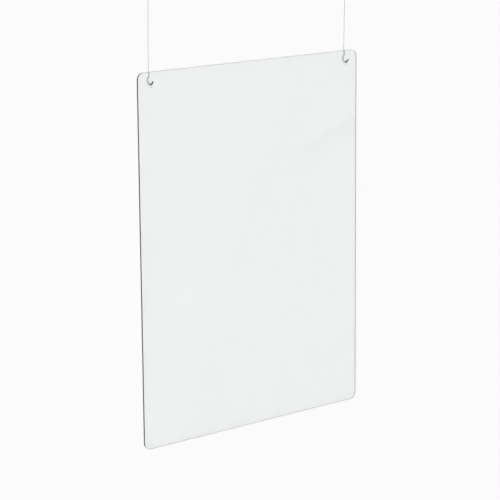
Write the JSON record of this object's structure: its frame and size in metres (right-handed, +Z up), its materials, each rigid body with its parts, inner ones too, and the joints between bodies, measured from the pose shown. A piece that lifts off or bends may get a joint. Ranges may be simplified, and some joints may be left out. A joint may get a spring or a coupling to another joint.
{
  "type": "hanging sneeze guard",
  "caption": "Clear acrylic sneeze guard with rounded corners, hung by its top corners from a ceiling on thin steel cables with hooks.",
  "frame": {"origin": "on the ceiling plane, midway between the two ceiling eye plates, and so above the middle of the panel", "axes": "+X along the panel's width, towards the right-hand cable seen from the front; -Y towards the panel's front; +Z up, into the ceiling"},
  "size_m": [0.6, 0.038, 1.025],
  "materials": {
    "clear_acrylic": "clear, flame-polished edges",
    "plate_steel": "fine brushed",
    "eye_steel": "drawn wire, lightly polished",
    "plated_steel": "bright nickel plate",
    "rivet_steel": "turned",
    "spring_steel": "oiled spring wire",
    "thimble_steel": "zinc plated",
    "wire_rope": "bright stranded wire",
    "ferrule_metal": "crimped, dull",
    "sleeve_steel": "swaged",
    "hook_steel": "polished stainless wire"
  },
  "bodies": {
    "ceiling": {"left_ceiling_plate": "plate_steel", "right_ceiling_plate": "plate_steel", "left_eye": "eye_steel", "right_eye": "eye_steel"},
    "left_clip": {"left_snap_hook": "plated_steel", "left_gate_pin": "rivet_steel"},
    "left_gate": {"left_snap_gate": "plated_steel", "left_gate_spring": "spring_steel"},
    "left_line": {"left_cable": "wire_rope", "left_thimble": "thimble_steel", "left_ferrule": "ferrule_metal"},
    "left_hook": {"left_hook_sleeve": "sleeve_steel", "left_panel_hook": "hook_steel"},
    "right_clip": {"right_snap_hook": "plated_steel", "right_gate_pin": "rivet_steel"},
    "right_gate": {"right_snap_gate": "plated_steel", "right_gate_spring": "spring_steel"},
    "right_line": {"right_cable": "wire_rope", "right_thimble": "thimble_steel", "right_ferrule": "ferrule_metal"},
    "right_hook": {"right_hook_sleeve": "sleeve_steel", "right_panel_hook": "hook_steel"},
    "panel": {"panel": "clear_acrylic"}
  },
  "joints": [
    {"name": "left_swing", "type": "hinge", "parent": "ceiling", "child": "left_clip", "pos_m": [-0.268, 0, -0.0135], "axis": [1, 0, 0], "range_deg": [-20, 20]},
    {"name": "left_sway", "type": "hinge", "parent": "left_clip", "child": "left_line", "pos_m": [-0.26813, 0.00061, -0.04604], "axis": [0, 1, 0], "range_deg": [-12, 12]},
    {"name": "left_level", "type": "hinge", "parent": "left_line", "child": "left_hook", "pos_m": [-0.26885, 0.004, -0.2265], "axis": [0, 1, 0], "range_deg": [-12, 12]},
    {"name": "left_gate_hinge", "type": "hinge", "parent": "left_clip", "child": "left_gate", "pos_m": [-0.26809, 0.00666, -0.03528], "axis": [1, 0.0001, -0.004], "range_deg": [0, 28], "stiffness_Nm_per_rad": 0.01, "springref_deg": -22.92},
    {"name": "right_swing", "type": "hinge", "parent": "ceiling", "child": "right_clip", "pos_m": [0.268, 0, -0.0135], "axis": [1, 0, 0], "range_deg": [-20, 20]},
    {"name": "right_sway", "type": "hinge", "parent": "right_clip", "child": "right_line", "pos_m": [0.26787, 0.00061, -0.04604], "axis": [0, 1, 0], "range_deg": [-12, 12]},
    {"name": "right_level", "type": "hinge", "parent": "right_line", "child": "right_hook", "pos_m": [0.26715, 0.004, -0.2265], "axis": [0, 1, 0], "range_deg": [-12, 12]},
    {"name": "right_gate_hinge", "type": "hinge", "parent": "right_clip", "child": "right_gate", "pos_m": [0.26791, 0.00666, -0.03528], "axis": [1, 0.0001, -0.004], "range_deg": [0, 28], "stiffness_Nm_per_rad": 0.01, "springref_deg": -22.92},
    {"name": "panel_tilt", "type": "hinge", "parent": "left_hook", "child": "panel", "pos_m": [-0.268, 0, -0.24299], "axis": [1, 0, 0], "range_deg": [0, 8]}
  ],
  "couplings": [
    {"joint": "left_level", "follows": "left_sway", "ratio": -1},
    {"joint": "right_swing", "follows": "left_swing", "ratio": 1},
    {"joint": "right_sway", "follows": "left_sway", "ratio": 1},
    {"joint": "right_level", "follows": "left_sway", "ratio": -1}
  ]
}
